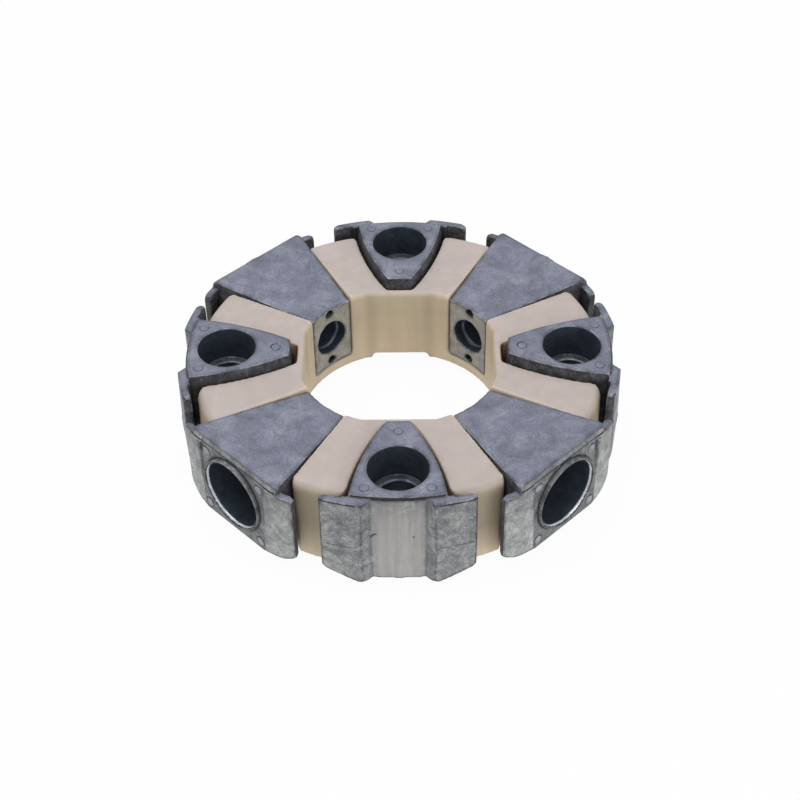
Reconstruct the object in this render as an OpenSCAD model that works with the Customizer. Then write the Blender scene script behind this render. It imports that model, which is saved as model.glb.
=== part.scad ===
/* [Overall layout] */
// Pitch circle of the four axial screw holes, across the coupling.
bolt_circle_d = 185; // [180:1:190]
// Height of the axial inserts from the flange seat to their top plates.
axial_height = 58; // [56:0.5:62]
// Height of the top plates above the top of the elastomer ring.
plate_rise = 4.8; // [3.5:0.1:6]
// Height of the ring panels above the flange seat.
ring_lift = 8.6; // [8:0.2:10]
// Bore of the ring between the metal inserts.
bore_d = 109; // [107:0.5:111]

/* [Screw holes] */
// Clearance hole for the axial screw.
axial_hole_d = 22; // [18:0.5:23]
// Counterbore for the axial screw head.
axial_counterbore_d = 31; // [28:0.5:33]
// Depth of the axial counterbore.
axial_counterbore_depth = 20; // [16:0.5:26]
// Chamfer round the axial screw hole, in the seat under the screw head.
axial_seat_chamfer = 0.5; // [0.3:0.1:2]
// Clearance hole for the radial screw.
radial_hole_d = 17.5; // [15:0.5:19]
// Locating recess round the radial screw hole, in the hub face.
radial_recess_d = 20.5; // [20:0.5:24]
// Depth of the locating recess.
radial_recess_depth = 5; // [3:0.5:8]
// Counterbore for the radial screw head, from the outer face.
radial_counterbore_d = 37; // [34:0.5:38]
// Thickness of metal left under the radial screw head.
radial_seat_thickness = 19; // [15:0.5:25]
// Diameter of the two locating pin holes in each hub face.
pin_hole_d = 5; // [4:0.5:6]
// Distance between the two pin holes of one hub face.
pin_spacing = 33; // [32:0.5:34]
// Depth of the pin holes.
pin_depth = 12; // [8:1:16]

/* [Axial inserts] */
// Distance from the ring bore out to the nose of the top plate.
nose_setback = 4.1; // [3.6:0.1:5.5]
// Half width of the nose of the top plate.
nose_half_w = 6.5; // [5.5:0.1:7.5]
// Distance from the pitch circle out to the outer edge of the top plate.
plate_margin = 20.5; // [19:0.5:23]
// Metal beside the counterbore at the outer edge of the top plate.
plate_side_wall = 8.7; // [7.5:0.1:10]
// Bulge of the curved sides of the top plate.
plate_bulge = 2.6; // [1.5:0.1:3.5]
// Upright edge of the top plate.
plate_edge = 1.6; // [1:0.1:3]
// Flare of the cast sides down to the parting plane.
axial_flare = 2.2; // [1:0.1:3]
// Flare of the cast nose down to the parting plane.
nose_flare = 3.2; // [1.5:0.1:3.6]
// Rise of the chamfer under the cast nose.
nose_cut_h = 5.5; // [4:0.5:8]
// Reach of the chamfer under the cast nose.
nose_cut_w = 13; // [8:0.5:16]
// Step from the channel floor out to the wings.
wing_step = 4.7; // [4:0.1:5.4]
// Half width of the root that joins the wings to the body.
wing_root_half_w = 27.4; // [26.6:0.2:30]
// Thickness of the wings.
axial_wing_t = 4.8; // [4:0.1:5]
// Length of each wing to the side, from where it starts.
axial_wing_len = 18.9; // [16:0.1:20]
// Drop of the wing tops below the top plate.
axial_wing_drop = 1.6; // [1.6:0.1:4]
// Half width of the channel between the wings.
channel_half_w = 13.8; // [12:0.2:15.6]
// Width of the slope from the channel floor to each wing.
channel_slope_w = 6.2; // [4:0.1:7]
// Step from the edge of the top plate out to the channel floor.
channel_step = 1.4; // [1:0.1:2]
// Height of the slanted cut at the foot of each wing tip.
axial_wing_cut = 8; // [4:0.5:12]
// Draft of the cast outer faces.
face_draft = 0.7; // [0.3:0.1:1]

/* [Radial inserts] */
// Half width of the radial insert at the hub face.
radial_inner_half_w = 13.8; // [13:0.2:14.6]
// Metal beside the counterbore at the outer top edge.
radial_side_wall = 13.8; // [12.5:0.1:14.5]
// Distance from the outer top edge out to the foot of the flat outer face.
edge_setback = 4.1; // [3.7:0.1:4.6]
// Distance from the foot of the flat outer face out to the wing radius.
face_setback = 2; // [1.6:0.1:2.6]
// Lean of the flat outer face, foot to top.
radial_face_lean = 2; // [1:0.1:2.4]
// Bevel along the outer top edge.
radial_bevel = 1.5; // [1:0.1:1.6]
// Depth of the fine groove under the bevel.
bevel_groove = 0.4; // [0.2:0.1:0.6]
// Metal between a pin hole and the edge of the hub face.
pin_edge = 0.5; // [0.3:0.1:1.5]
// Metal above and below the counterbore at the outer top edge.
radial_cover = 6; // [5:0.5:7]
// Gap from the foot of the ring to the inside of the radial wings.
radial_wing_gap = 5.7; // [4.5:0.1:6.5]
// Thickness of the radial wings.
radial_wing_t = 4.2; // [3.4:0.2:5.4]
// Slant of the wing end faces, outer edge to inner edge.
radial_wing_slant = 1.5; // [0.5:0.1:2.5]
// Reach of each radial wing to the side, past the wedge.
radial_wing_len = 8.7; // [7:0.1:10]
// Width of the flat face beside the raised collar.
flat_margin = 3.4; // [2.4:0.1:5]
// Drop of the radial wing tops below the outer top edge.
radial_wing_drop = 4.2; // [2.8:0.2:5]
// Height of the slanted cut at the foot of each radial wing tip.
radial_wing_cut_h = 3.8; // [2:0.2:7]
// Width of that slanted cut.
radial_wing_cut_w = 7.4; // [5:0.2:12]
// Wall of the raised collar round the counterbore.
collar_wall = 2.1; // [1.6:0.1:2.6]
// Height of the raised collar above the foot of the flat face.
collar_h = 1; // [0.6:0.1:1.6]
// Chamfer in the mouth of the counterbore.
mouth_chamfer = 1.4; // [0.5:0.1:1.5]

/* [Elastomer ring] */
// Taper of the outer wall of the ring, foot to top.
ring_taper = 1.7; // [1:0.1:2.4]
// Depth of the flat panels behind the axial inserts, inside the bore.
panel_depth = 3.5; // [2.9:0.1:5]
// Thickness of the ring floor under the outer edge of a radial insert.
radial_floor = 1.7; // [1.2:0.1:3]
// Depth of the floor rim below the panels.
rim_drop = 3.6; // [2:0.2:5]
// Half width of the relief in the rim below each panel.
relief_half_w = 15.8; // [14:0.2:18]
// Rounding of the outer top edge.
ring_round = 5; // [3:0.5:6]
// Rounding of the inner top edge.
bore_round = 2.4; // [1:0.2:3]
// Rounding of the upright block corners beside the axial inserts.
block_round = 6; // [4:0.5:7]
// Rounding of the upright block corners beside the radial inserts.
block_round_small = 3.5; // [2:0.5:5]

/* [Fit] */
// Gap between an axial insert at its parting plane and its pocket.
axial_fit = 0.4; // [0.2:0.1:0.8]
// Gap between the sides of a radial insert and its pocket.
radial_fit = 0.6; // [0.2:0.1:0.8]
// Gap between the underside of a radial insert and the pocket floor.
floor_fit = 0.3; // [0.2:0.1:0.6]
// Gap between the foot of the ring and the inside of the axial wings.
wing_fit = 2.2; // [1.8:0.1:2.8]
// Distance that the hub faces stand back from the ring bore.
hub_setback = 0.5; // [0.3:0.1:1]

/* [Hidden] */
$fn = 96;
bolt_r = bolt_circle_d / 2;
bore_r = bore_d / 2;
hub_r = bore_r + hub_setback;
ring_top = axial_height - plate_rise;
ring_foot = ring_lift - rim_drop;

// Radii in order outward: plate, channel, axial wings, ring, radial wings and face.
nose_reach = bore_r + nose_setback;
panel_reach = bore_r - panel_depth;
plate_r = bolt_r + plate_margin;
channel_r = plate_r + channel_step;
axial_wing_r = channel_r + wing_step;
ring_foot_r = axial_wing_r - axial_wing_t - wing_fit;
ring_top_r = ring_foot_r - ring_taper;
radial_wing_r = ring_foot_r + radial_wing_gap + radial_wing_t;
radial_face_reach = radial_wing_r - face_setback;
radial_edge_reach = radial_face_reach - edge_setback;

// Widths and heights that follow the holes they surround.
plate_half_w = axial_counterbore_d / 2 + plate_side_wall;
wing_start_half_w = channel_half_w + channel_slope_w;
axial_wing_half_w = wing_start_half_w + axial_wing_len;
collar_r = radial_counterbore_d / 2 + collar_wall;
radial_flat_half_w = collar_r + flat_margin;
radial_outer_half_w = radial_counterbore_d / 2 + radial_side_wall;
radial_wing_half_w = radial_outer_half_w + radial_wing_len;
radial_inner_h = pin_spacing + pin_hole_d + 2 * pin_edge;
radial_outer_h = radial_counterbore_d + 2 * radial_cover;
radial_axis_h = ring_foot + radial_floor + floor_fit + radial_outer_h / 2;
parting_z = axial_height * 0.465;
plate_foot = axial_height - plate_edge;
wing_top = axial_height - axial_wing_drop;
pocket_nose = nose_reach - nose_flare - axial_fit;

// Sizes of cutting blocks, larger than anything they cut.
far = radial_wing_r * 1.15;
tall = axial_height * 1.5;
near = bore_r * 0.75;
under = -1;

// Curved plate side: an arc through the nose corner and the outer corner.
plate_outer_reach = sqrt(plate_r * plate_r - plate_half_w * plate_half_w);
chord_x = plate_outer_reach - nose_reach;
chord_y = plate_half_w - nose_half_w;
chord = sqrt(chord_x * chord_x + chord_y * chord_y);
side_r = (chord * chord / 4 + plate_bulge * plate_bulge) / (2 * plate_bulge);
side_cx = (nose_reach + plate_outer_reach) / 2 + chord_y / chord * (side_r - plate_bulge);
side_cy = (nose_half_w + plate_half_w) / 2 - chord_x / chord * (side_r - plate_bulge);

// Straight side and sloping faces of the radial wedge.
wedge_base = sqrt(hub_r * hub_r - radial_inner_half_w * radial_inner_half_w);
wedge_slope = (radial_outer_half_w - radial_inner_half_w) / (radial_edge_reach - wedge_base);
wedge_angle = atan(wedge_slope);
top_slope = (radial_outer_h - radial_inner_h) / 2 / (radial_edge_reach - wedge_base);
radial_top = radial_axis_h + radial_outer_h / 2;
radial_foot = radial_axis_h - radial_outer_h / 2;
side_fit = radial_fit / cos(wedge_angle);

// Centres of the block corner roundings, measured from the nearest insert axis.
pocket_r = side_r + axial_flare + axial_fit;
side_c = sqrt(side_cx * side_cx + side_cy * side_cy);
corner_reach = ring_top_r - block_round;
corner_far = pocket_r + block_round;
corner_cos = (corner_reach * corner_reach + side_c * side_c - corner_far * corner_far)
  / (2 * corner_reach * side_c);
corner_dir = atan2(side_cy, side_cx) + acos(corner_cos);
small_reach = ring_top_r - block_round_small;
small_off = (radial_inner_half_w - wedge_base * wedge_slope) * cos(wedge_angle)
  + radial_fit + block_round_small;
small_dir = wedge_angle + asin(small_off / small_reach);

// Half thickness and half width of the radial wedge at a distance from the axis.
function wedge_half_h(reach) = radial_inner_h / 2 + (reach - wedge_base) * top_slope;
function wedge_half_w(reach) = radial_inner_half_w + (reach - wedge_base) * wedge_slope;

// Turns a profile drawn as reach and height into a block across the insert.
module across(half_w) {
  translate([0, half_w, 0]) rotate([90, 0, 0]) linear_extrude(height = 2 * half_w) children();
}

// Turns a profile drawn as side and height into a block along the insert.
module outward() {
  rotate([90, 0, 90]) linear_extrude(height = far) children();
}

// Outer cast face, drafted both ways from the parting plane.
module drafted_drum(r, top) {
  cylinder(h = parting_z, r1 = r - face_draft, r2 = r, $fn = 360);
  translate([0, 0, parting_z]) cylinder(h = top - parting_z, r1 = r, r2 = r - face_draft, $fn = 360);
}

// Flat top plate with curved sides and a blunt nose, rooted in the cast body.
module axial_plate() {
  root = plate_foot - plate_edge;
  intersection() {
    translate([0, 0, root]) cylinder(h = 2 * plate_edge, r = plate_r, $fn = 360);
    translate([nose_reach, -far / 2, root]) cube([far, far, 2 * plate_edge]);
    intersection_for (m = [0, 1]) mirror([0, m, 0]) translate([side_cx, side_cy, root])
      cylinder(h = 2 * plate_edge, r = side_r, $fn = 360);
  }
}

// Cast body, widest at the parting plane.
module axial_body() {
  intersection() {
    intersection_for (m = [0, 1]) mirror([0, m, 0]) translate([side_cx, side_cy, 0]) union() {
      cylinder(h = parting_z, r1 = side_r, r2 = side_r + axial_flare, $fn = 360);
      translate([0, 0, parting_z])
        cylinder(h = plate_foot - parting_z, r1 = side_r + axial_flare, r2 = side_r, $fn = 360);
    }
    across(far / 2) polygon([[nose_reach + nose_cut_w, 0], [nose_reach, nose_cut_h],
      [nose_reach - nose_flare, parting_z], [nose_reach, plate_foot], [far, plate_foot], [far, 0]]);
    union() {
      drafted_drum(channel_r, wing_top);
      cylinder(h = plate_foot, r = plate_r, $fn = 360);
    }
  }
}

// Two wings with a channel between them, rooted in the body. The slopes end inside the
// drafted channel floor.
module axial_wings() {
  slope_foot = channel_r - 2 * face_draft;
  difference() {
    intersection() {
      drafted_drum(axial_wing_r, wing_top);
      outward() polygon([[-axial_wing_half_w, axial_wing_cut], [-wing_start_half_w, 0],
        [wing_start_half_w, 0], [axial_wing_half_w, axial_wing_cut],
        [axial_wing_half_w, wing_top], [-axial_wing_half_w, wing_top]]);
    }
    difference() {
      translate([0, 0, under]) cylinder(h = tall, r = axial_wing_r - axial_wing_t, $fn = 360);
      difference() {
        translate([0, 0, 2 * under]) linear_extrude(height = 2 * tall)
          polygon([[near, -wing_root_half_w], [far, -wing_root_half_w],
            [far, wing_root_half_w], [near, wing_root_half_w]]);
        translate([0, 0, 3 * under]) cylinder(h = 3 * tall, r = slope_foot, $fn = 360);
      }
    }
    difference() {
      translate([0, 0, under]) linear_extrude(height = tall)
        polygon([[near, -channel_half_w], [slope_foot, -channel_half_w],
          [axial_wing_r, -wing_start_half_w], [far, -wing_start_half_w],
          [far, wing_start_half_w], [axial_wing_r, wing_start_half_w],
          [slope_foot, channel_half_w], [near, channel_half_w]]);
      drafted_drum(channel_r, tall);
    }
  }
}

module axial_insert(turn) {
  seat_z = axial_height - axial_counterbore_depth;
  color("#8C919B") rotate([0, 0, turn]) difference() {
    union() {
      axial_plate();
      axial_body();
      axial_wings();
    }
    translate([bolt_r, 0, under]) cylinder(h = tall, d = axial_hole_d);
    translate([bolt_r, 0, seat_z]) cylinder(h = tall, d = axial_counterbore_d);
    translate([bolt_r, 0, seat_z - axial_seat_chamfer]) cylinder(h = axial_seat_chamfer,
      d1 = axial_hole_d, d2 = axial_hole_d + 2 * axial_seat_chamfer);
  }
}

module axial_insert_front() { axial_insert(-90); }
module axial_insert_right() { axial_insert(0); }
module axial_insert_back() { axial_insert(90); }
module axial_insert_left() { axial_insert(180); }

// Solid wedge with a bevelled, grooved outer top edge and a leaning outer face.
module radial_wedge() {
  bevel_x = radial_edge_reach + radial_bevel;
  bevel_z = radial_top - radial_bevel;
  face_top = bevel_z - 2.75 * bevel_groove;
  intersection() {
    across(far / 2) polygon([[near, radial_axis_h - wedge_half_h(near)],
      [near, radial_axis_h + wedge_half_h(near)], [radial_edge_reach, radial_top],
      [bevel_x, bevel_z], [bevel_x - bevel_groove, bevel_z - bevel_groove],
      [radial_face_reach - radial_face_lean, face_top], [radial_face_reach, radial_foot],
      [radial_edge_reach, radial_foot]]);
    cylinder(h = tall, r = radial_wing_r, $fn = 360);
    linear_extrude(height = tall) polygon([[near, -wedge_half_w(near)],
      [radial_edge_reach, -radial_outer_half_w], [far, -radial_outer_half_w],
      [far, radial_outer_half_w], [radial_edge_reach, radial_outer_half_w],
      [near, wedge_half_w(near)]]);
  }
}

// Thin curved wings on both sides of the flat outer face.
module radial_wings() {
  wing_h = radial_outer_h - radial_wing_drop;
  cut_z = radial_foot + radial_wing_cut_h;
  cut_y = radial_wing_half_w - radial_wing_cut_w;
  tip_x = sqrt(radial_wing_r * radial_wing_r - radial_wing_half_w * radial_wing_half_w);
  back_x = tip_x - 3 * radial_wing_t;
  back_y = radial_wing_half_w - 3 * radial_wing_slant;
  difference() {
    intersection() {
      translate([0, 0, radial_foot]) cylinder(h = wing_h, r = radial_wing_r, $fn = 360);
      linear_extrude(height = tall) polygon([[back_x, -back_y], [tip_x, -radial_wing_half_w],
        [far, -radial_wing_half_w], [far, radial_wing_half_w], [tip_x, radial_wing_half_w],
        [back_x, back_y]]);
      outward() polygon([[-radial_wing_half_w, cut_z], [-cut_y, radial_foot], [cut_y, radial_foot],
        [radial_wing_half_w, cut_z], [radial_wing_half_w, tall], [-radial_wing_half_w, tall]]);
    }
    translate([0, 0, under]) cylinder(h = tall, r = radial_wing_r - radial_wing_t, $fn = 360);
    across(radial_flat_half_w) polygon([[radial_face_reach, radial_foot], [far, radial_foot],
      [far, tall], [radial_face_reach - radial_face_lean, tall],
      [radial_face_reach - radial_face_lean, radial_foot + wing_h]]);
  }
}

module radial_insert(turn) {
  mouth = radial_face_reach + collar_h;
  color("#8C919B") rotate([0, 0, turn]) difference() {
    union() {
      radial_wedge();
      radial_wings();
      translate([radial_edge_reach, 0, radial_axis_h]) rotate([0, 90, 0])
        cylinder(h = mouth - radial_edge_reach, r = collar_r);
    }
    translate([0, 0, under]) cylinder(h = tall, r = hub_r, $fn = 360);
    translate([near, 0, radial_axis_h]) rotate([0, 90, 0]) cylinder(h = far - near, d = radial_hole_d);
    translate([near, 0, radial_axis_h]) rotate([0, 90, 0])
      cylinder(h = hub_r - near + radial_recess_depth, d = radial_recess_d);
    translate([hub_r + radial_seat_thickness, 0, radial_axis_h]) rotate([0, 90, 0])
      cylinder(h = far, d = radial_counterbore_d);
    translate([mouth - mouth_chamfer, 0, radial_axis_h]) rotate([0, 90, 0])
      cylinder(h = mouth_chamfer, d1 = radial_counterbore_d, d2 = radial_counterbore_d + 2 * mouth_chamfer);
    for (s = [-1, 1]) translate([near, 0, radial_axis_h + s * pin_spacing / 2]) rotate([0, 90, 0])
      cylinder(h = hub_r - near + pin_depth, d = pin_hole_d);
  }
}

module radial_insert_front_right() { radial_insert(-45); }
module radial_insert_back_right() { radial_insert(45); }
module radial_insert_back_left() { radial_insert(135); }
module radial_insert_front_left() { radial_insert(-135); }

// Pocket for one axial insert, open through the ring and outward.
module axial_pocket() {
  intersection() {
    intersection_for (m = [0, 1]) mirror([0, m, 0]) translate([side_cx, side_cy, under])
      cylinder(h = tall, r = pocket_r, $fn = 360);
    translate([pocket_nose, -far / 2, under]) cube([far, far, tall]);
  }
}

// Pocket for one radial insert, closed below by a sloping floor.
module radial_pocket() {
  intersection() {
    across(far / 2) polygon([[near, radial_axis_h - wedge_half_h(near) - floor_fit],
      [far, radial_axis_h - wedge_half_h(far) - floor_fit], [far, tall], [near, tall]]);
    linear_extrude(height = tall) polygon([[near, -wedge_half_w(near) - side_fit],
      [far, -wedge_half_w(far) - side_fit], [far, wedge_half_w(far) + side_fit],
      [near, wedge_half_w(near) + side_fit]]);
  }
}

// Cuts one upright corner to a round: its centre, its radius and the two directions
// in which the round meets the walls beside it.
module corner_cut(centre, r, wall_dir, rim_dir) {
  mid_dir = (wall_dir + rim_dir) / 2;
  difference() {
    translate([centre[0], centre[1], under]) linear_extrude(height = tall)
      polygon([[0, 0], 1.3 * r * [cos(wall_dir), sin(wall_dir)],
        4 * r * [cos(mid_dir), sin(mid_dir)], 4 * r * [cos(rim_dir), sin(rim_dir)]]);
    translate([centre[0], centre[1], 2 * under]) cylinder(h = tall * 1.1, r = r);
  }
}

module axial_corner() {
  centre = corner_reach * [cos(corner_dir), sin(corner_dir)];
  corner_cut(centre, block_round, atan2(side_cy - centre[1], side_cx - centre[0]), corner_dir);
}

module radial_corner() {
  centre = small_reach * [cos(small_dir), sin(small_dir)];
  corner_cut(centre, block_round_small, wedge_angle - 90, small_dir);
}

// Ring before its pockets: rounded outside, four flat panels round the bore.
module ring_blank() {
  round_z = ring_top - ring_round;
  lip_z = ring_top - bore_round;
  lip_r = bore_r + bore_round;
  panel_half_w = sqrt(bore_r * bore_r - panel_reach * panel_reach) + bore_round / 2;
  difference() {
    union() {
      translate([0, 0, ring_foot])
        cylinder(h = round_z - ring_foot, r1 = ring_foot_r, r2 = ring_top_r, $fn = 360);
      translate([0, 0, round_z]) cylinder(h = ring_round, r = ring_top_r - ring_round, $fn = 360);
      intersection() {
        translate([0, 0, round_z]) rotate_extrude($fn = 360)
          translate([ring_top_r - ring_round, 0]) circle(r = ring_round);
        translate([0, 0, round_z]) cylinder(h = tall, r = far);
      }
    }
    intersection() {
      translate([0, 0, under]) cylinder(h = tall, r = bore_r, $fn = 360);
      translate([-panel_reach, -panel_reach, under]) cube([2 * panel_reach, 2 * panel_reach, tall]);
    }
    difference() {
      translate([0, 0, lip_z]) cylinder(h = tall, r = lip_r, $fn = 360);
      translate([0, 0, lip_z]) rotate_extrude($fn = 360) translate([lip_r, 0]) circle(r = bore_round);
      for (a = [0:90:270]) rotate([0, 0, a]) translate([panel_reach, -panel_half_w, 0])
        cube([far, 2 * panel_half_w, tall]);
    }
    for (a = [0:90:270]) rotate([0, 0, a]) difference() {
      translate([near, -panel_half_w, lip_z]) cube([panel_reach + bore_round - near, 2 * panel_half_w, tall]);
      translate([panel_reach + bore_round, far / 2, lip_z]) rotate([90, 0, 0])
        cylinder(h = far, r = bore_round);
    }
  }
}

module elastomer_ring() {
  relief_len = nose_reach - near + axial_fit;
  color("#C8B6AB") difference() {
    ring_blank();
    for (a = [0:90:270]) rotate([0, 0, a]) {
      axial_pocket();
      translate([near, -relief_half_w, under]) cube([relief_len, 2 * relief_half_w, ring_lift - under]);
      for (m = [0, 1]) mirror([0, m, 0]) axial_corner();
    }
    for (a = [45:90:315]) rotate([0, 0, a]) {
      radial_pocket();
      for (m = [0, 1]) mirror([0, m, 0]) radial_corner();
    }
  }
}

elastomer_ring();
axial_insert_front();
axial_insert_right();
axial_insert_back();
axial_insert_left();
radial_insert_front_right();
radial_insert_back_right();
radial_insert_back_left();
radial_insert_front_left();
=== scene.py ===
import math
import bmesh
import bpy
import numpy as np
from mathutils import Matrix, Vector


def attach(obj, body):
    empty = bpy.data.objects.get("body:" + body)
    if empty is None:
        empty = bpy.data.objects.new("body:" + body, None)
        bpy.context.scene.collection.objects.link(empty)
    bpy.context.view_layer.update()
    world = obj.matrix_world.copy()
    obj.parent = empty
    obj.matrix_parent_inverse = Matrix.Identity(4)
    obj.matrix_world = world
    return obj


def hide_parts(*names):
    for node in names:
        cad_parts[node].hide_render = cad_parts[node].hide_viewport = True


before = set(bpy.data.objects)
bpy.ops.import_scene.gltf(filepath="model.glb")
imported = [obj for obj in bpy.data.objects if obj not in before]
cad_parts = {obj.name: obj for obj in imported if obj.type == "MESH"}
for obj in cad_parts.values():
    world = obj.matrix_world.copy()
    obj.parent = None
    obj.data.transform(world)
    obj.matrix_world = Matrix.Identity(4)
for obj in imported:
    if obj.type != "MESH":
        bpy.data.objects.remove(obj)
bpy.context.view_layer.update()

camera_data = bpy.data.cameras.new("photo_camera")
camera_data.lens = 71.04
camera_data.sensor_width = 36.0
camera_data.clip_start = 0.05
camera_data.clip_end = 30.0
camera = bpy.data.objects.new("photo_camera", camera_data)
camera.matrix_world = Matrix((
    (0.99989939, 0.00722165, 0.01220686, 0.010690276),
    (0.00416967, 0.67295337, -0.73967320, -0.644685852),
    (-0.01355631, 0.73964971, 0.67285556, 0.605195618),
    (0.0, 0.0, 0.0, 1.0)))
bpy.context.scene.collection.objects.link(camera)
bpy.context.scene.camera = camera

# Elastomer ring
# One moulding of hard natural elastomer, pale beige and matt. The mould leaves round
# edges, so the ring is a fine copy of the solid with every edge softened.
MM = 0.001
RING_GRID = 1.2 * MM
RING_PASSES = 4
MERGE_DISTANCE = 0.002 * MM
RIM_PASSES = 7
# Where the painted shade and the painted glow of the ring begin and end, as heights, reaches and half
# widths.
OUTER_SHADE = (9 * MM, 27 * MM)
INNER_SHADE = (10 * MM, 40 * MM)
OUTER_WALL = (90 * MM, 100 * MM)
PANEL_EDGE = 16.5 * MM
PANEL_BAND = (1 * MM, 4.5 * MM)
POCKET_SIDE = (7.5 * MM, 9 * MM)
POCKET_END = (52.5 * MM, 54.5 * MM)


def linear(code):
    """Turns an sRGB hex colour into linear red, green, blue and alpha 1."""
    s = np.array([int(code[i:i + 2], 16) for i in (1, 3, 5)]) / 255.0
    return (*np.where(s <= 0.04045, s / 12.92, ((s + 0.055) / 1.055) ** 2.4), 1.0)


def node(tree, kind, links=None, **settings):
    """Adds one node. Settings are its properties; links maps an input to an output or a value."""
    new = tree.nodes.new(kind)
    for key, value in settings.items():
        setattr(new, key, value)
    for key, value in (links or {}).items():
        if isinstance(value, bpy.types.NodeSocket):
            tree.links.new(value, new.inputs[key])
        else:
            new.inputs[key].default_value = value
    return new


def new_material(name):
    """Makes an empty material and returns it with its tree and its surface output."""
    made = bpy.data.materials.new(name)
    made.use_nodes = True
    made.node_tree.nodes.clear()
    return made, made.node_tree, made.node_tree.nodes.new("ShaderNodeOutputMaterial")


def beside_axes(tree, place):
    """The distance of a place from the nearer of the X and Y axes, and from the farther one."""
    flat = node(tree, "ShaderNodeSeparateXYZ", {"Vector": node(
        tree, "ShaderNodeVectorMath", {0: place}, operation="ABSOLUTE").outputs[0]})
    both = {0: flat.outputs["X"], 1: flat.outputs["Y"]}
    return (node(tree, "ShaderNodeMath", both, operation="MINIMUM").outputs[0],
            node(tree, "ShaderNodeMath", both, operation="MAXIMUM").outputs[0])


def turned(points, turn):
    """Turns rows of points about Z by turn, in degrees."""
    a = math.radians(turn)
    return points @ np.array([[math.cos(a), math.sin(a), 0], [-math.sin(a), math.cos(a), 0],
                              [0, 0, 1]])


def vertices(mesh):
    """The vertices of a mesh, one row each."""
    points = np.zeros(len(mesh.vertices) * 3)
    mesh.vertices.foreach_get("co", points)
    return points.reshape(-1, 3)


def neighbours(mesh):
    """Every edge as two rows, one from either end, and the number of rows from each vertex."""
    pairs = np.zeros(len(mesh.edges) * 2, np.int32)
    mesh.edges.foreach_get("vertices", pairs)
    pairs = np.concatenate([pairs.reshape(-1, 2), pairs.reshape(-1, 2)[:, ::-1]])
    return pairs, np.maximum(np.bincount(pairs[:, 0], minlength=len(mesh.vertices)), 1)


def around(values, pairs, count):
    """The mean of a value over the neighbours of each vertex."""
    return np.bincount(pairs[:, 0], values[pairs[:, 1]], len(count)) / count


def mean_place(points, pairs, count):
    """The mean place of the neighbours of each vertex."""
    return np.stack([around(points[:, k], pairs, count) for k in range(3)], 1)


def note_bends(mesh):
    """Keeps the bend of the surface in 1/mm as two attributes and returns the second.

    The attribute edge is four times the height of a vertex over the mean of its neighbours,
    divided by the mean squared distance to them. The attribute rim is how much of it, with
    either sign, lies within a few millimetres."""
    points = vertices(mesh)
    pairs, count = neighbours(mesh)
    normals = np.zeros(len(points) * 3)
    mesh.vertex_normals.foreach_get("vector", normals)
    sink = ((mean_place(points, pairs, count) - points) * normals.reshape(-1, 3)).sum(1)
    step = points[pairs[:, 1]] - points[pairs[:, 0]]
    square = np.bincount(pairs[:, 0], (step ** 2).sum(1), len(points)) / count
    bend = -4 * sink / square * MM
    near = np.abs(bend)
    for _ in range(RIM_PASSES):
        near = 0.5 * near + 0.5 * around(near, pairs, count)
    for label, values in (("edge", bend), ("rim", near)):
        kept = mesh.attributes.get(label) or mesh.attributes.new(label, "FLOAT", "POINT")
        kept.data.foreach_set("value", values.astype(np.float32))
    return near


def softened(name, turn, grid, passes, finishes):
    """Copies a solid as a fine even mesh and smooths it, so outward edges and fillets turn round.

    The mesh is worked on unturned, so all inserts of a kind come out alike."""
    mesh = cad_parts[name].data.copy()
    mesh.materials.clear()
    mesh.vertices.foreach_set("co", turned(vertices(mesh), -turn).ravel())
    work = bmesh.new()
    work.from_mesh(mesh)
    bmesh.ops.remove_doubles(work, verts=work.verts, dist=MERGE_DISTANCE)
    work.to_mesh(mesh)
    work.free()
    piece = bpy.data.objects.new("cast_" + name, mesh)
    bpy.context.scene.collection.objects.link(piece)
    fine = piece.modifiers.new("fine_mesh", "REMESH")
    fine.mode = "VOXEL"
    fine.voxel_size = grid
    soft = piece.modifiers.new("soft_edges", "SMOOTH")
    soft.factor = 0.5
    soft.iterations = passes
    bpy.context.view_layer.update()
    held = bpy.data.meshes.new_from_object(
        piece.evaluated_get(bpy.context.evaluated_depsgraph_get()))
    piece.modifiers.clear()
    piece.data = held
    held.vertices.foreach_set("co", turned(vertices(held), turn).ravel())
    held.update()
    for made in finishes:
        held.materials.append(made)
    held.shade_smooth()
    return piece


elastomer, tree, output = new_material("moulded_elastomer")
# Matt moulded elastomer: soft and even, faintly clouded, with a painted highlight on its edges. The
# top has a pinkish painted sheen, and the upright walls keep the straw colour with faint upright
# shading.
place = node(tree, "ShaderNodeTexCoord").outputs["Object"]
normal = node(tree, "ShaderNodeNewGeometry").outputs["Normal"]
upward = node(tree, "ShaderNodeSeparateXYZ", {"Vector": normal}).outputs["Z"]
lying = node(tree, "ShaderNodeMapRange", {"Value": upward, "From Min": 0.3,
             "From Max": 0.9}).outputs[0]
wall = node(tree, "ShaderNodeMath", {0: 1.0, 1: lying}, operation="SUBTRACT").outputs[0]
tint_and_top_sheen = node(tree, "ShaderNodeMix", {0: lying, 6: linear("#D3C3A8"), 7: linear("#B7ABA6")},
            data_type="RGBA").outputs[2]
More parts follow.
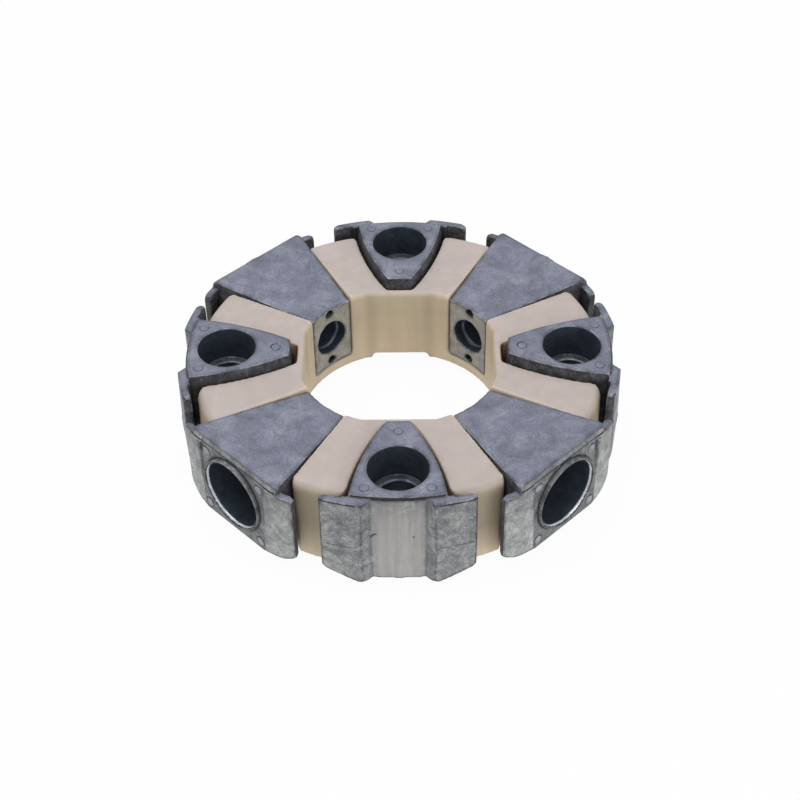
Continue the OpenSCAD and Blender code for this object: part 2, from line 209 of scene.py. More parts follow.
# Clouds about 20 mm wide, and upright bands about 7 mm apart from the flow of the melt.
clouds = node(tree, "ShaderNodeTexNoise", {"Vector": place, "Scale": 45.0,
              "Detail": 3.0}).outputs[0]
drawn = node(tree, "ShaderNodeMapping", {"Vector": place, "Scale": (1.0, 1.0, 0.06)}).outputs[0]
bands = node(tree, "ShaderNodeTexNoise", {"Vector": drawn, "Scale": 150.0,
             "Detail": 2.0}).outputs[0]
veil = node(tree, "ShaderNodeMapRange", {"Value": bands, "From Min": 0.35, "From Max": 0.7,
            "To Min": 0.95, "To Max": 1.04}).outputs[0]
shade = node(tree, "ShaderNodeMapRange", {"Value": clouds, "From Min": 0.3, "From Max": 0.7,
             "To Min": 0.96, "To Max": 1.03}).outputs[0]
cloudy = node(tree, "ShaderNodeMath", {0: veil, 1: shade}, operation="MULTIPLY").outputs[0]
# Painted shade: the walls darken upwards, and the bore has a band of painted shade on each side of its
# flat panels.
height = node(tree, "ShaderNodeSeparateXYZ", {"Vector": place}).outputs["Z"]
outer = node(tree, "ShaderNodeMapRange", {"Value": height, "From Min": OUTER_SHADE[0],
             "From Max": OUTER_SHADE[1], "To Min": 1.26, "To Max": 0.7}).outputs[0]
bore_height_shade = node(tree, "ShaderNodeMapRange", {"Value": height, "From Min": INNER_SHADE[0],
             "From Max": INNER_SHADE[1], "To Min": 1.24, "To Max": 0.96}).outputs[0]
across, along = beside_axes(tree, place)
off_edge = node(tree, "ShaderNodeMath", {0: across, 1: PANEL_EDGE}, operation="SUBTRACT").outputs[0]
beside = node(tree, "ShaderNodeMath", {0: off_edge}, operation="ABSOLUTE").outputs[0]
panel_painted_shade = node(tree, "ShaderNodeMapRange", {"Value": beside, "From Min": PANEL_BAND[0],
              "From Max": PANEL_BAND[1], "To Min": 0.88, "To Max": 1.0}).outputs[0]
within = node(tree, "ShaderNodeMath", {0: bore_height_shade, 1: panel_painted_shade}, operation="MULTIPLY").outputs[0]
reach = node(tree, "ShaderNodeVectorMath", {0: place}, operation="LENGTH").outputs["Value"]
outside = node(tree, "ShaderNodeMapRange", {"Value": reach, "From Min": OUTER_WALL[0],
               "From Max": OUTER_WALL[1]}).outputs[0]
height_painted_shade = node(tree, "ShaderNodeMix", {0: outside, 2: within, 3: outer}).outputs[0]
wall_painted_shade = node(tree, "ShaderNodeMix", {0: wall, 2: 1.0, 3: height_painted_shade}).outputs[0]
layers = node(tree, "ShaderNodeMath", {0: cloudy, 1: wall_painted_shade}, operation="MULTIPLY").outputs[0]
body = node(tree, "ShaderNodeMix", {0: 1.0, 6: tint_and_top_sheen, 7: layers}, data_type="RGBA",
            blend_type="MULTIPLY").outputs[2]
# Painted highlight: the rounded edges are painted paler.
bend = node(tree, "ShaderNodeAttribute", attribute_name="edge").outputs["Fac"]
lip = node(tree, "ShaderNodeMapRange", {"Value": bend, "From Min": 0.15, "From Max": 0.8,
           "To Max": 0.5}).outputs[0]
pale = node(tree, "ShaderNodeMix", {0: lip, 6: body, 7: linear("#DCD0BE")},
            data_type="RGBA").outputs[2]
# Painted glow: light that has passed through the thin wall is painted as an amber colour on the closed
# ends of the pockets.
narrow = node(tree, "ShaderNodeMapRange", {"Value": across, "From Min": POCKET_SIDE[0],
              "From Max": POCKET_SIDE[1], "To Min": 1.0, "To Max": 0.0}).outputs[0]
deep = node(tree, "ShaderNodeMapRange", {"Value": along, "From Min": POCKET_END[0],
            "From Max": POCKET_END[1]}).outputs[0]
pocket = node(tree, "ShaderNodeMath", {0: narrow, 1: deep}, operation="MULTIPLY").outputs[0]
lit = node(tree, "ShaderNodeMath", {0: pocket, 1: wall}, operation="MULTIPLY").outputs[0]
with_painted_glow = node(tree, "ShaderNodeMix", {0: lit, 6: pale, 7: linear("#A8602A")},
            data_type="RGBA").outputs[2]
# Grain of about 1 mm, coarser than the real one so that it shows.
grain = node(tree, "ShaderNodeTexNoise", {"Vector": place, "Scale": 900.0,
             "Detail": 2.0}).outputs[0]
relief = node(tree, "ShaderNodeBump", {"Height": grain, "Strength": 0.12,
              "Distance": 0.2 * MM}).outputs[0]
finish = node(tree, "ShaderNodeBsdfPrincipled", {"Base Color": with_painted_glow, "Roughness": 0.55,
              "Normal": relief, "Subsurface Weight": 0.25,
              "Subsurface Radius": (1.0, 0.5, 0.2), "Subsurface Scale": 5 * MM})
tree.links.new(finish.outputs[0], output.inputs["Surface"])

ring = softened("elastomer_ring", 0, RING_GRID, RING_PASSES, [elastomer])
note_bends(ring.data)
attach(ring, "root")
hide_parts("elastomer_ring")

# Cast inserts
# Each insert is one die casting in aluminium, tumbled until its top is dull blue-grey.
# The outer faces keep the rougher cast skin; the bores and hub faces are machined.
CAST_GRID = 0.56 * MM
CAST_PASSES = 7
SPREAD_PASSES = 8
BLUNT_PASSES = 32
# Corners are blunted beyond this side, or below this height, and beyond this reach, in mm.
BLUNT_SIDE, BLUNT_HEIGHT, BLUNT_REACH = 28, 9, 104
# The bend near a vertex in 1/mm at which it starts to take part and takes part fully, how
# much its spread part is raised, and the least part that counts.
BLUNT_BEND, BLUNT_GAIN, LEAST_PART = (0.9, 1.2), 2.5, 0.001
# Heights between which the painted shade of a finish changes from foot to top.
FADE_HEIGHTS = (6 * MM, 54 * MM)
# Where the channel floor fades out at its sides and at its top, and how far a noise of
# nought to one draws those ends in.
CHANNEL_SIDE, CHANNEL_SIDE_RAGGED = (18.5 * MM, 22.5 * MM), 16 * MM
CHANNEL_TOP, CHANNEL_TOP_RAGGED = (56 * MM, 70 * MM), 30 * MM


def blunted(mesh, turn, near):
    """Wears down the outer corners of an insert, where three edges meet.

    A vertex takes part by how much bend lies near it, near, and by how many of its neighbours
    do. It moves again and again by half that part of the way to the mean of its neighbours."""
    points = vertices(mesh)
    pairs, count = neighbours(mesh)
    own = turned(points, -turn) / MM
    outer = (np.abs(own[:, 1]) > BLUNT_SIDE) | (own[:, 2] < BLUNT_HEIGHT)
    part = np.interp(near, BLUNT_BEND, (0, 1)) * (outer & (own[:, 0] > BLUNT_REACH))
    for _ in range(SPREAD_PASSES):
        part = 0.5 * part + 0.5 * around(part, pairs, count)
    part = np.clip(BLUNT_GAIN * part, 0, 1)
    taken = pairs[part[pairs[:, 0]] > LEAST_PART]
    for _ in range(BLUNT_PASSES):
        mean = mean_place(points, taken, count)
        points += 0.5 * part[:, None] * np.where(mean.any(1)[:, None], mean - points, 0)
    mesh.vertices.foreach_set("co", points.ravel())
    mesh.update()


def cast_metal(name, dark, mid, light, contrast, patch, speck, rough, metal=0.25, veins=0.3,
               height_shade=(1.0, 1.0), edge_shade=0.75, shine=0.6, nicks=0.0, corner_shade=0.8, wiped=None,
               flank_shade=1.0):
    """A cast aluminium finish: patches, specks and flow lines, rubbed edges, and painted shade along
    edges and in corners.

    patch and speck are in millimetres. height_shade is painted shade: how the colour is scaled at
    the foot and at the top of the object. flank_shade is painted shade: how it is scaled where the
    surface turns down. edge_shade darkens a band along each edge as painted shade, shine bares the
    edge itself, corner_shade blackens inside corners as painted shade, and nicks adds short bright
    scratches. wiped holds the two colours of the channel floor, which fades out about 9 to 16 mm
    from the middle of an axial insert."""
    made, tree, output = new_material(name)
    place = node(tree, "ShaderNodeTexCoord").outputs["Object"]
    big = node(tree, "ShaderNodeTexNoise", {"Vector": place, "Scale": 1.0 / (patch * MM),
               "Detail": 8.0, "Roughness": 0.68, "Distortion": 0.5}).outputs[0]
    fine = node(tree, "ShaderNodeTexNoise", {"Vector": place, "Scale": 1.0 / (speck * MM),
                "Detail": 3.0, "Roughness": 0.7}).outputs[0]
    both = node(tree, "ShaderNodeMix", {0: 0.35, 2: big, 3: fine}).outputs[0]
    spread = 0.16 / contrast
    level = node(tree, "ShaderNodeMapRange", {"Value": both, "From Min": 0.5 - spread,
                 "From Max": 0.5 + spread}).outputs[0]
    ramp = node(tree, "ShaderNodeValToRGB", {"Fac": level})
    ramp.color_ramp.elements[0].color = linear(dark)
    ramp.color_ramp.elements[1].color = linear(light)
    ramp.color_ramp.elements.new(0.5).color = linear(mid)
    # Flow lines lie where a warped noise passes one half, and only inside some patches.
    warped = node(tree, "ShaderNodeTexNoise", {"Vector": place, "Scale": 0.42 / (patch * MM),
                  "Detail": 6.0, "Roughness": 0.55, "Distortion": 1.2}).outputs[0]
    off = node(tree, "ShaderNodeMath", {0: warped, 1: 0.5}, operation="SUBTRACT").outputs[0]
    near = node(tree, "ShaderNodeMath", {0: off}, operation="ABSOLUTE").outputs[0]
    line = node(tree, "ShaderNodeMapRange", {"Value": near, "From Min": 0.0, "From Max": 0.012,
                "To Min": veins, "To Max": 0.0}).outputs[0]
    some = node(tree, "ShaderNodeMapRange", {"Value": big, "From Min": 0.45,
                "From Max": 0.6}).outputs[0]
    vein = node(tree, "ShaderNodeMath", {0: line, 1: some}, operation="MULTIPLY").outputs[0]
    colour = node(tree, "ShaderNodeMix", {0: vein, 6: ramp.outputs[0], 7: linear("#33363C")},
                  data_type="RGBA").outputs[2]
    # Scratches are a noise of about 1.4 mm, drawn out in three directions.
    for angle, length in ((0.5, 0.22), (-0.8, 0.3), (1.4, 0.25)):
        swept = node(tree, "ShaderNodeMapping", {"Vector": place, "Rotation": (0.0, 0.0, angle),
                     "Scale": (1.0, length, 0.4)}).outputs[0]
        cuts = node(tree, "ShaderNodeTexNoise", {"Vector": swept, "Scale": 700.0,
                    "Detail": 3.0, "Roughness": 0.6, "Distortion": 0.6}).outputs[0]
        fleck = node(tree, "ShaderNodeMapRange", {"Value": cuts, "From Min": 0.62,
                     "From Max": 0.72, "To Max": nicks}).outputs[0]
        colour = node(tree, "ShaderNodeMix", {0: fleck, 6: colour, 7: linear("#B9BBC4")},
                      data_type="RGBA").outputs[2]
    height = node(tree, "ShaderNodeSeparateXYZ", {"Vector": place}).outputs["Z"]
    if wiped:
        upright = node(tree, "ShaderNodeMapping", {"Vector": place,
                       "Scale": (1.0, 1.0, 0.07)}).outputs[0]
        streaks = node(tree, "ShaderNodeTexNoise", {"Vector": upright, "Scale": 420.0,
                       "Detail": 8.0, "Roughness": 0.7}).outputs[0]
        stretched = node(tree, "ShaderNodeMapRange", {"Value": streaks, "From Min": 0.34,
                         "From Max": 0.66}).outputs[0]
        floor_ramp = node(tree, "ShaderNodeValToRGB", {"Fac": stretched})
        floor_ramp.color_ramp.elements[0].color = linear(wiped[0])
        floor_ramp.color_ramp.elements[1].color = linear(wiped[1])
        across = beside_axes(tree, place)[0]
        ragged = node(tree, "ShaderNodeMath", {0: big, 1: CHANNEL_SIDE_RAGGED, 2: across},
                      operation="MULTIPLY_ADD").outputs[0]
        middle = node(tree, "ShaderNodeMapRange", {"Value": ragged, "From Min": CHANNEL_SIDE[0],
                      "From Max": CHANNEL_SIDE[1], "To Min": 1.0, "To Max": 0.0}).outputs[0]
        lowered = node(tree, "ShaderNodeMath", {0: big, 1: CHANNEL_TOP_RAGGED, 2: height},
                       operation="MULTIPLY_ADD").outputs[0]
        below = node(tree, "ShaderNodeMapRange", {"Value": lowered, "From Min": CHANNEL_TOP[0],
                     "From Max": CHANNEL_TOP[1], "To Min": 1.0, "To Max": 0.25}).outputs[0]
        share = node(tree, "ShaderNodeMath", {0: middle, 1: below}, operation="MULTIPLY").outputs[0]
        colour = node(tree, "ShaderNodeMix", {0: share, 6: colour, 7: floor_ramp.outputs[0]},
                      data_type="RGBA").outputs[2]
    # Painted shade: the colour is scaled by height, and darkened where the surface turns down.
    height_painted_shade = node(tree, "ShaderNodeMapRange", {"Value": height, "From Min": FADE_HEIGHTS[0],
                  "From Max": FADE_HEIGHTS[1], "To Min": height_shade[0], "To Max": height_shade[1]}).outputs[0]
    normal = node(tree, "ShaderNodeNewGeometry").outputs["Normal"]
    upward = node(tree, "ShaderNodeSeparateXYZ", {"Vector": normal}).outputs["Z"]
    flank_painted_shade = node(tree, "ShaderNodeMapRange", {"Value": upward, "From Min": 0.45,
                   "From Max": 0.9, "To Min": flank_shade, "To Max": 1.0}).outputs[0]
    scaled = node(tree, "ShaderNodeMath", {0: height_painted_shade, 1: flank_painted_shade}, operation="MULTIPLY").outputs[0]
    colour = node(tree, "ShaderNodeMix", {0: 1.0, 6: colour, 7: scaled}, data_type="RGBA",
                  blend_type="MULTIPLY").outputs[2]
    # Painted shade: a band along each edge is darkened, unevenly.
    rim = node(tree, "ShaderNodeAttribute", attribute_name="rim").outputs["Fac"]
    beside = node(tree, "ShaderNodeMapRange", {"Value": rim, "From Min": 0.11, "From Max": 0.4,
                  "To Max": edge_shade}).outputs[0]
    uneven = node(tree, "ShaderNodeMapRange", {"Value": big, "From Min": 0.3, "From Max": 0.6,
                  "To Min": 1.0, "To Max": 0.45}).outputs[0]
    edge_painted_shade = node(tree, "ShaderNodeMath", {0: beside, 1: uneven}, operation="MULTIPLY").outputs[0]
    colour = node(tree, "ShaderNodeMix", {0: edge_painted_shade, 6: colour, 7: linear("#2A2D34")},
                  data_type="RGBA").outputs[2]
    bend = node(tree, "ShaderNodeAttribute", attribute_name="edge").outputs["Fac"]
    rubbed = node(tree, "ShaderNodeMapRange", {"Value": bend, "From Min": 0.35,
                  "From Max": 1.1}).outputs[0]
    chipped = node(tree, "ShaderNodeMapRange", {"Value": big, "From Min": 0.44,
                   "From Max": 0.62, "To Max": shine}).outputs[0]
    bare = node(tree, "ShaderNodeMath", {0: rubbed, 1: chipped}, operation="MULTIPLY").outputs[0]
    colour = node(tree, "ShaderNodeMix", {0: bare, 6: colour, 7: linear("#B4B7BE")},
                  data_type="RGBA").outputs[2]
    # Painted shade: inside corners are blackened.
    corner_painted_shade = node(tree, "ShaderNodeMapRange", {"Value": bend, "From Min": -0.25, "From Max": -0.8,
                  "To Max": corner_shade}).outputs[0]
    colour = node(tree, "ShaderNodeMix", {0: corner_painted_shade, 6: colour, 7: linear("#1B1D22")},
                  data_type="RGBA").outputs[2]
    relief = node(tree, "ShaderNodeBump", {"Height": both, "Strength": 0.4,
                  "Distance": 0.4 * MM}).outputs[0]
    finish = node(tree, "ShaderNodeBsdfPrincipled", {"Base Color": colour, "Metallic": metal,
                  "Roughness": rough, "Normal": relief})
    tree.links.new(finish.outputs[0], output.inputs["Surface"])
    return made


# Tumbled top: even blue-grey with soft lighter clouds, painted darker where it turns down, as painted
# shade.
tumbled = cast_metal("tumbled_aluminium", "#4E515C", "#6F7384", "#9194A0", 0.95, 14.0, 1.0, 0.5,
                     veins=0.6, edge_shade=0.6, nicks=0.12, flank_shade=0.35)
# Outer cast skin: greenish grey, strongly mottled, with dark flow lines; painted shade makes it
# lighter at the foot and darker at the top. The channel floor of an axial insert was wiped down
# by the die: pale, with upright streaks.
cast_skin = cast_metal("cast_skin_aluminium", "#4C5053", "#888A8B", "#BABBBA", 1.12, 6.5, 0.8, 0.6,
                       veins=0.8, height_shade=(1.12, 0.9), edge_shade=0.8, shine=0.35, nicks=0.2,
                       corner_shade=0.25, wiped=("#9A9795", "#B3B0AE"))
# Sides between plate and ring: painted dark as painted shade, darker still at the foot.
painted_shade_side = cast_metal("cast_side_aluminium", "#222226", "#434348", "#6C6B6E", 1.0, 6.0, 0.9, 0.55,
                       height_shade=(0.5, 1.2), nicks=0.15)
# The cast skin on the radial inserts, a little paler; painted shade makes it lighter at the foot and
# darker at the top.
pale_skin = cast_metal("pale_cast_skin_aluminium", "#62656A", "#9C9E9E", "#CDCDCB", 1.0, 7.5, 0.8,
                       0.6, veins=0.9, height_shade=(1.2, 0.78), edge_shade=0.8, shine=0.35, nicks=0.2)
# The cast skin on the flat face round a radial counterbore, darker with oil.
oily_skin = cast_metal("oily_cast_skin_aluminium", "#45484A", "#76797A", "#A3A5A5", 1.0, 5.5, 0.8,
                       0.55, veins=0.6, edge_shade=0.7, shine=0.3, nicks=0.15)
# Hub face, machined: warmer and smoother.
machined = cast_metal("machined_aluminium", "#75726B", "#9B978E", "#B5B1A7", 0.9, 6.0, 0.7, 0.45,
                      veins=0.0, edge_shade=0.5)
# Discs of the ejector prints: rubbed bright and speckled.
worn = cast_metal("worn_aluminium", "#6A6D74", "#9699A0", "#BFC1C7", 1.1, 5.0, 0.7, 0.5, veins=0.0,
                  edge_shade=0.3)
# Bores: smooth, and painted dark as painted shade inside them.
bore = cast_metal("bore_aluminium", "#2E3641", "#454F5B", "#5D6976", 0.7, 8.0, 1.0, 0.35, 0.4,
                  veins=0.0, edge_shade=0.0)
# Flat seat at the foot of a counterbore: turned, between dark and bright.
seat = cast_metal("seat_aluminium", "#3B4047", "#5C626A", "#8C9198", 1.0, 5.0, 0.6, 0.4, 0.4,
                  veins=0.0, edge_shade=0.3)
# Chamfer in the mouth of a radial counterbore: painted bright, as a painted highlight of the
# reflection in it.
lip_highlight = cast_metal("turned_lip_aluminium", "#8A8E95", "#B9BCC1", "#E6E8EA", 0.8, 5.0, 0.6, 0.25,
                        0.9, veins=0.0, edge_shade=0.0)
# Grooves and the undersides of edges: painted black as painted shadow.
shadow_line = cast_metal("groove_aluminium", "#0D0F12", "#181B20", "#2A2D33", 1.0, 3.0, 0.7, 0.6,
                    veins=0.0, edge_shade=0.0, shine=0.0)
FINISHES = [tumbled, cast_skin, painted_shade_side, pale_skin, machined, worn, bore, seat, lip_highlight, shadow_line,
            oily_skin]
(TUMBLED, CAST_SKIN, PAINTED_SHADE_SIDE, PALE_SKIN, MACHINED, WORN, BORE_SHADE, SEAT, LIP_HIGHLIGHT, SHADOW_LINE,
 OILY_SKIN) = range(len(FINISHES))

# Axial inserts
# Each has a flat top plate on a flared body, and two wings with a channel between them. It
# is one casting, and an axial screw through its middle holds it to the flange.
AXIAL_TURN = {"front": -90, "right": 0, "back": 90, "left": 180}
HOLE_REACH = 92.5
COUNTERBORE_WALL, SEAT_EDGE = 15.6, 15.2
SEAT_HEIGHTS = (34, 50)
AXIAL_OUTER_REACH = 105
PLATE_TOP = 58.0
# Bands under the edges of the plate and the wings, painted black as painted shadow: heights and side
# limit.
PLATE_SHADOW_BAND, PLATE_SHADOW_SIDE = (56.2, 57.3), 23
WING_SHADOW_BAND, WING_SHADOW_SIDE = (55.0, 55.8), 20.5
WING_SIDE, WING_REACH = (20.4, 38.4), 119.1
# Each pin print is a dent in the plate with a low dome in it, of this radius and rise.
NOSE_PRINT = (66.0, 0.0)
PIN_PRINTS = (NOSE_PRINT, (106.0, -16.5), (106.0, 16.5))
PRINT_R, PRINT_DEPTH = 3.1, 0.3
PRINT_DOME = (2.6, 0.28)
# On two inserts the nose print is deeper over part of its circle, given in degrees. Its shadow is
# painted as a black wire at this height, of this radius and half thickness.
DEEPER = {"left": (-15, 100), "right": (150, 290)}
DEEPER_HEIGHT, DEEPER_WIRE = 57.54, (2.7, 0.42)
# The parting line of the die runs round both wings as a bright seam over a dark one, the dark
# one painted shadow. Each has its height, reach, half thickness and finish.
PARTING_SEAMS = ((27.1, 119.02, 0.35, CAST_SKIN), (26.6, 118.92, 0.3, SHADOW_LINE))
UP, OUT = (0, 0, 1), (1, 0, 0)


def insert(name, turn):
    """Makes the softened copy of an insert with blunt corners."""
    piece = softened(name, turn, CAST_GRID, CAST_PASSES, FINISHES)
    blunted(piece.data, turn, note_bends(piece.data))
    note_bends(piece.data)
    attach(piece, "root")
    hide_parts(name)
    return piece


def local_faces(mesh, turn):
    """Face centres in mm and normals, turned back into the insert's own reach, side and height."""
    centre, normal = np.zeros(len(mesh.polygons) * 3), np.zeros(len(mesh.polygons) * 3)
    mesh.polygons.foreach_get("center", centre)
    mesh.polygons.foreach_get("normal", normal)
    return turned(centre.reshape(-1, 3), -turn) / MM, turned(normal.reshape(-1, 3), -turn)


def between(values, low, high):
    """Which values lie between low and high."""
    return (values > low) & (values < high)


def dress(piece, finish):
    """Gives each face of an insert its finish."""
    piece.data.polygons.foreach_set("material_index", finish.astype(np.int32))
    piece.data.update()


def grid_faces(rows, columns):
    """Quads between neighbouring rows and columns of a grid, with the columns closed into a loop."""
    r, c = np.meshgrid(np.arange(rows - 1), np.arange(columns), indexing="ij")
    n = (c + 1) % columns
    return np.stack([r * columns + c, (r + 1) * columns + c, (r + 1) * columns + n,
                     r * columns + n], -1).reshape(-1, 4)


def bead(centre, axis, up, radius, wire, arc=(0.0, 360.0), steps=40):
    """A round wire bent along a circle: vertices in mm and quads.

    A point is centre + (radius + wire cos b) (cos a side + sin a up) + wire sin b axis."""
    axis, up = np.array(axis, float), np.array(up, float)
    axis /= np.linalg.norm(axis)
    side = np.cross(up, axis)
    a = np.radians(np.linspace(arc[0], arc[1], steps))[:, None]
    b = np.radians(np.arange(0, 360, 45))[None, :]
    out = (radius + wire * np.cos(b))[..., None]
    points = np.array(centre) + out * (np.cos(a)[..., None] * side + np.sin(a)[..., None] * up)
    points = points + (wire * np.sin(b))[..., None] * axis
    return points.reshape(-1, 3), grid_faces(steps, b.size)


def dome(centre, axis, up, radius, rise):
    """A flat round cap: the height over the radius share t is rise times (1 - t to the sixth)."""
    axis, up = np.array(axis, float), np.array(up, float)
    axis /= np.linalg.norm(axis)
    side = np.cross(up, axis)
    t = np.linspace(0.02, 1.0, 7)[:, None]
    a = np.radians(np.arange(0, 360, 12))[None, :]
    flat = (radius * t)[..., None] * (np.cos(a)[..., None] * side + np.sin(a)[..., None] * up)
    points = np.array(centre) + flat + (rise * (1 - t ** 6) * np.ones_like(a))[..., None] * axis
    return points.reshape(-1, 3), grid_faces(t.size, a.size)


def marks(name, turn, shapes):
    """Joins small cast marks into one piece, turned to its insert. Each is (points, faces, finish)."""
    points, faces, finish, start = [], [], [], 0
    for own, quads, which in shapes:
        points.append(turned(own, turn) * MM)
        faces.append(quads + start)
        finish.append(np.full(len(quads), which))
        start += len(own)
    mesh = bpy.data.meshes.new(name)
    mesh.from_pydata(np.concatenate(points).tolist(), [], np.concatenate(faces).tolist())
    for made in FINISHES:
        mesh.materials.append(made)
    mesh.polygons.foreach_set("material_index", np.concatenate(finish).astype(np.int32))
    mesh.shade_smooth()
    work = bmesh.new()
    work.from_mesh(mesh)
    bmesh.ops.holes_fill(work, edges=work.edges, sides=40)
    bmesh.ops.recalc_face_normals(work, faces=work.faces)
    work.to_mesh(mesh)
    work.free()
    piece = bpy.data.objects.new(name, mesh)
    bpy.context.scene.collection.objects.link(piece)
    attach(piece, "root")


def dented(piece, turn, centre, radius, depth):
    """Lowers the top of an insert by depth inside a circle, all in mm."""
    points = turned(vertices(piece.data), -turn) / MM
    inside = np.hypot(points[:, 0] - centre[0], points[:, 1] - centre[1]) < radius
    points[inside & (points[:, 2] > PLATE_TOP - 0.5), 2] -= depth
    piece.data.vertices.foreach_set("co", (turned(points, turn) * MM).ravel())
    piece.data.update()


for side, turn in AXIAL_TURN.items():
    piece = insert("axial_insert_" + side, turn)
    c, n = local_faces(piece.data, turn)
    from_hole = np.hypot(c[:, 0] - HOLE_REACH, c[:, 1])
    inward = ((c[:, 0] - HOLE_REACH) * n[:, 0] + c[:, 1] * n[:, 1]) < -0.3 * from_hole
    # Every face starts painted dark as painted shade, and then takes its own finish where it has one.
    finish = np.full(len(c), PAINTED_SHADE_SIDE)
    finish[n[:, 2] > 0.35] = TUMBLED
    outer = (n[:, 0] > 0.3) & (c[:, 0] > AXIAL_OUTER_REACH) & (n[:, 2] < 0.7)
    side_way, height = np.abs(c[:, 1]), c[:, 2]
    finish[outer] = CAST_SKIN
    # Painted shadow lines under the edges of the plate and the wings.
    finish[outer & (side_way < PLATE_SHADOW_SIDE) & between(height, *PLATE_SHADOW_BAND)] = SHADOW_LINE
    finish[outer & (side_way > WING_SHADOW_SIDE) & between(height, *WING_SHADOW_BAND)] = SHADOW_LINE
    # The far ends of the wings are painted dark as painted shade.
    finish[outer & (side_way > WING_SIDE[1])] = PAINTED_SHADE_SIDE
    # The counterbore walls are painted dark as painted shade.
    finish[(from_hole < COUNTERBORE_WALL) & (inward | (height < SEAT_HEIGHTS[1]))] = BORE_SHADE
    finish[(from_hole < SEAT_EDGE) & between(height, *SEAT_HEIGHTS) & (n[:, 2] > 0.3)] = SEAT
    dress(piece, finish)
    shapes = []
    for spot in PIN_PRINTS:
        dented(piece, turn, spot, PRINT_R, PRINT_DEPTH)
        shapes.append((*dome((*spot, PLATE_TOP - PRINT_DEPTH), UP, OUT, *PRINT_DOME), TUMBLED))
    for wing in (-1, 1):
        start, end = np.degrees(np.arcsin(np.array(WING_SIDE) / WING_REACH))
        ends = (90 - wing * start, 90 - wing * end)
        for level, reach, wire, which in PARTING_SEAMS:
            shapes.append((*bead((0, 0, level), UP, OUT, reach, wire, ends), which))
    if side in DEEPER:
        shapes.append((*bead((*NOSE_PRINT, DEEPER_HEIGHT), UP, OUT, *DEEPER_WIRE, DEEPER[side],
                             steps=14), SHADOW_LINE))
    marks("axial_marks_" + side, turn, shapes)

# The print of one ejector pin and a small blow hole in the channel of the front insert, both
# painted dark as painted shade.
crescent = bead((113.9, -11.0, 30.4), OUT, UP, 2.6, 0.35, (85, 170), steps=16)
pit = dome((114.1, 7.4, 31.0), OUT, UP, 0.55, 0.15)
marks("channel_flaws", AXIAL_TURN["front"], [(*crescent, BORE_SHADE), (*pit, BORE_SHADE)])

# Radial inserts
# Each is a wedge that widens outward, with a raised collar round the counterbore and two
# thin wings. It is one casting, held to the hub by a screw from outside.
RADIAL_TURN = {"front_right": -45, "back_right": 45, "back_left": 135, "front_left": -135}
SCREW_HEIGHT = 31.5
RADIAL_OUTER_REACH = 100
OILY_SIDE = 24
# A band under the top edge, painted black as painted shadow: heights and side limit.
TOP_SHADOW_BAND, TOP_SHADOW_SIDE = (52.7, 53.6), 32
HUB_FACE_REACH = 56
COUNTERBORE_R, RECESS_R = 18.6, 10.6
# Rings round the mouth, by radius and least reach: chamfer with a painted highlight, step in painted
# shade, oily collar, and foot painted black as painted shadow. The chamfer has its painted highlight
# only where it faces the axis.
MOUTH_RINGS = ((18.6, 19.3, 118, LIP_HIGHLIGHT), (19.3, 20.1, 118, PAINTED_SHADE_SIDE),
               (20.1, 20.8, 118, OILY_SKIN), (20.8, 21.4, 116, SHADOW_LINE))
# The face leans back by FACE_LEAN over FACE_RISE, from FACE_REACH at the height FACE_FOOT.
FACE_REACH, FACE_FOOT, FACE_LEAN, FACE_RISE = 120.0, 7.0, 2.0, 46.4
SQUARE_TO_FACE = (FACE_RISE, 0, FACE_LEAN)
# The print of an ejector pin is a rim painted dark as painted shade, by radius and half
# thickness, with a faint raised disc inside it, by radius and rise.
EJECTOR_SIDES, EJECTOR_HEIGHTS = (-20.0, 20.0), (12.0, 48.0)
EJECTOR_RIM, EJECTOR_DISC = (2.95, 0.16), (2.6, 0.12)

for side, turn in RADIAL_TURN.items():
    piece = insert("radial_insert_" + side, turn)
    c, n = local_faces(piece.data, turn)
    off_screw = c[:, 2] - SCREW_HEIGHT
    from_axis = np.hypot(c[:, 1], off_screw)
    facing = (c[:, 1] * n[:, 1] + off_screw * n[:, 2]) / np.maximum(from_axis, 1e-6)
    # Every face starts painted dark as painted shade, and then takes its own finish where it has one.
    finish = np.full(len(c), PAINTED_SHADE_SIDE)
    finish[n[:, 2] > 0.35] = TUMBLED
    outer = (n[:, 0] > 0.3) & (c[:, 0] > RADIAL_OUTER_REACH) & (n[:, 2] < 0.7)
    side_way = np.abs(c[:, 1])
    finish[outer] = np.where(side_way[outer] < OILY_SIDE, OILY_SKIN, PALE_SKIN)
    finish[outer & (side_way < TOP_SHADOW_SIDE) & between(c[:, 2], *TOP_SHADOW_BAND)] = SHADOW_LINE
    finish[(n[:, 0] < -0.8) & (c[:, 0] < HUB_FACE_REACH)] = MACHINED
    # The counterbore and the hub recess are painted dark as painted shade.
    finish[(facing < -0.5) & (from_axis < COUNTERBORE_R)] = BORE_SHADE
    finish[(from_axis < RECESS_R) & (c[:, 0] > HUB_FACE_REACH)] = BORE_SHADE
    for low, high, from_reach, which in MOUTH_RINGS:
        shown = between(from_axis, low, high) & (c[:, 0] > from_reach)
        finish[shown & ((facing < -0.2) | (which != LIP_HIGHLIGHT))] = which
    dress(piece, finish)
    shapes = []
    for across in EJECTOR_SIDES:
        for height in EJECTOR_HEIGHTS:
            spot = (FACE_REACH - FACE_LEAN * (height - FACE_FOOT) / FACE_RISE, across, height)
            shapes.append((*bead(spot, SQUARE_TO_FACE, UP, *EJECTOR_RIM), PAINTED_SHADE_SIDE))
            shapes.append((*dome(spot, SQUARE_TO_FACE, UP, *EJECTOR_DISC), WORN))
    marks("radial_marks_" + side, turn, shapes)

# Floor and light
# A white table under large soft lamps. The camera sees the table as white, and the
# table still takes the object's shadow.
TABLE_HALF = 6.0


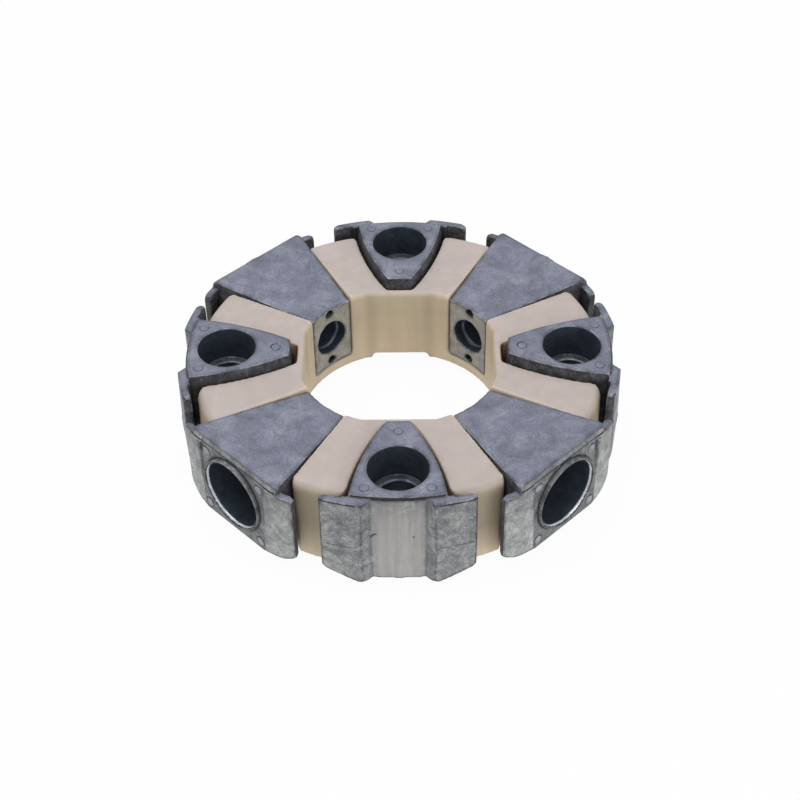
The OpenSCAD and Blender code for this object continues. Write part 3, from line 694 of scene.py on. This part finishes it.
def seen_directly(tree):
    """One where the camera or a mirror-like reflection looks, and nought for other light."""
    rays = node(tree, "ShaderNodeLightPath").outputs
    return node(tree, "ShaderNodeMath", {0: rays["Is Camera Ray"], 1: rays["Is Glossy Ray"]},
                operation="MAXIMUM").outputs[0]


floor_mesh = bpy.data.meshes.new("white_table")
floor_mesh.from_pydata([(x * TABLE_HALF, y * TABLE_HALF, 0)
                        for x, y in ((-1, -1), (1, -1), (1, 1), (-1, 1))], [], [(0, 1, 2, 3)])
floor = bpy.data.objects.new("white_table", floor_mesh)
bpy.context.scene.collection.objects.link(floor)
table_paint, tree, output = new_material("white_table")
# Matt white paint, but white of its own where it is seen directly. The small share of paint
# that is left there shows the shadow.
white = node(tree, "ShaderNodeEmission", {"Color": (1, 1, 1, 1), "Strength": 1.0}).outputs[0]
chalk = node(tree, "ShaderNodeBsdfDiffuse", {"Color": linear("#EBEBEB")}).outputs[0]
share = node(tree, "ShaderNodeMath", {0: seen_directly(tree), 1: 0.96},
             operation="MULTIPLY").outputs[0]
mixed = node(tree, "ShaderNodeMixShader", {0: share, 1: chalk, 2: white}).outputs[0]
tree.links.new(mixed, output.inputs["Surface"])
floor_mesh.materials.append(table_paint)

world = bpy.data.worlds.new("studio")
bpy.context.scene.world = world
world.use_nodes = True
tree = world.node_tree
tree.nodes.clear()
# The sky is white where it is seen directly, and less bright as a light.
level = node(tree, "ShaderNodeMapRange", {"Value": seen_directly(tree), "To Min": 0.62,
             "To Max": 1.0}).outputs[0]
sky = node(tree, "ShaderNodeBackground", {"Color": (1, 1, 1, 1), "Strength": level}).outputs[0]
node(tree, "ShaderNodeOutputWorld", {"Surface": sky})


def lamp(name, place, power, size):
    """A square soft lamp at place, in metres, aimed at the middle of the object."""
    data = bpy.data.lights.new(name, "AREA")
    data.energy, data.size = power, size
    made = bpy.data.objects.new(name, data)
    made.matrix_world = Matrix.Translation(place) @ (
        Vector(place).to_track_quat("Z", "Y").to_matrix().to_4x4())
    bpy.context.scene.collection.objects.link(made)


lamp("overhead_lamp", (-0.25, 0.1, 1.3), 9.0, 1.2)
lamp("front_lamp", (0.95, -0.95, 0.6), 4.2, 0.9)

bpy.context.scene.view_settings.view_transform = "Standard"
